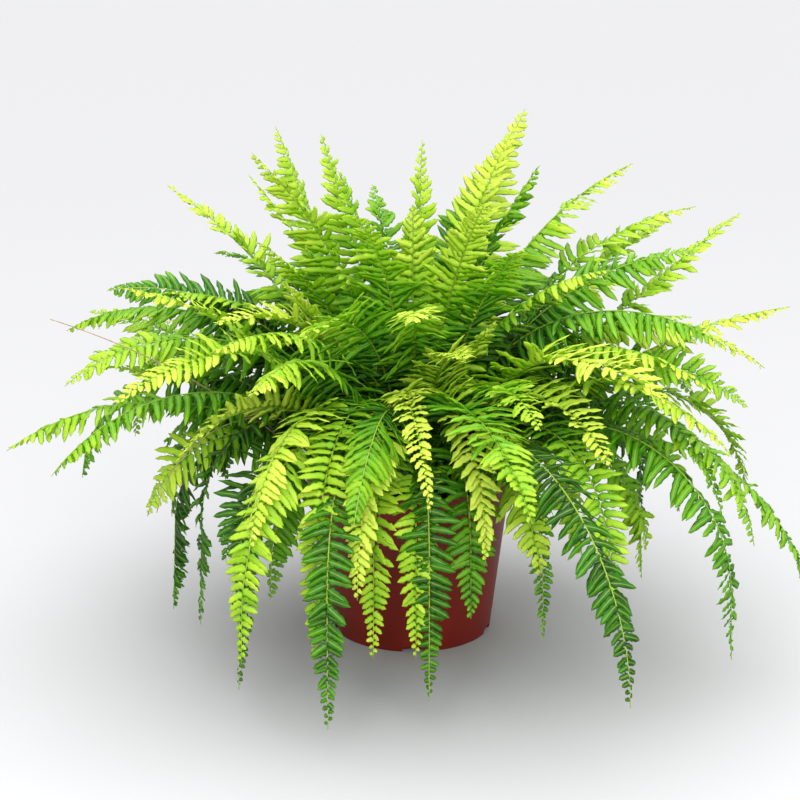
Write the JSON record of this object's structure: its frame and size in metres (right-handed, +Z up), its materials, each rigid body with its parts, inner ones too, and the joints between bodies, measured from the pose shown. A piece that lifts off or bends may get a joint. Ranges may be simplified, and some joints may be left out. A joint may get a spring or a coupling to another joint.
{
  "type": "potted fern",
  "caption": "Bushy sword fern with long arching fronds of small leaflets, standing in soil in a round tapered plastic pot.",
  "frame": {"origin": "centre of the pot's flat base, on the surface it stands on", "axes": "+Z up; -Y towards the front, the side the picture shows; +X to the right in the picture"},
  "size_m": [0.5214, 0.5102, 0.3467],
  "materials": {
    "pot": "satin moulded plastic, terracotta red-brown",
    "soil": "loose, matte potting mix",
    "frond": "fresh green leaf, slightly waxy",
    "runner": "thin wiry brown stem"
  },
  "bodies": {
    "root": {"frond_002": "frond", "frond_010": "frond", "frond_013": "frond", "frond_015": "frond", "frond_027": "frond", "frond_028": "frond", "frond_031": "frond", "frond_034": "frond", "frond_039": "frond", "frond_053": "frond", "frond_057": "frond", "frond_058": "frond", "frond_062": "frond", "frond_065": "frond", "frond_066": "frond", "frond_070": "frond", "frond_071": "frond", "frond_072": "frond", "frond_073": "frond", "frond_074": "frond", "frond_075": "frond", "frond_078": "frond", "frond_081": "frond", "frond_083": "frond", "frond_084": "frond", "frond_086": "frond", "frond_091": "frond", "frond_095": "frond", "frond_097": "frond", "frond_109": "frond", "frond_111": "frond", "frond_115": "frond", "frond_119": "frond", "fronds_000": "frond", "fronds_001": "frond", "fronds_003": "frond", "fronds_004": "frond", "fronds_005": "frond", "fronds_006": "frond", "fronds_009": "frond", "fronds_012": "frond", "fronds_016": "frond", "fronds_020": "frond", "fronds_029": "frond", "fronds_032": "frond", "fronds_033": "frond", "fronds_035": "frond", "fronds_036": "frond", "fronds_037": "frond", "fronds_046": "frond", "fronds_068": "frond", "fronds_085": "frond", "fronds_087": "frond", "fronds_101": "frond", "fronds_107": "frond", "pot": "pot", "runner_1": "runner", "runner_2": "runner", "runner_3": "runner", "soil": "soil"}
  },
  "joints": []
}
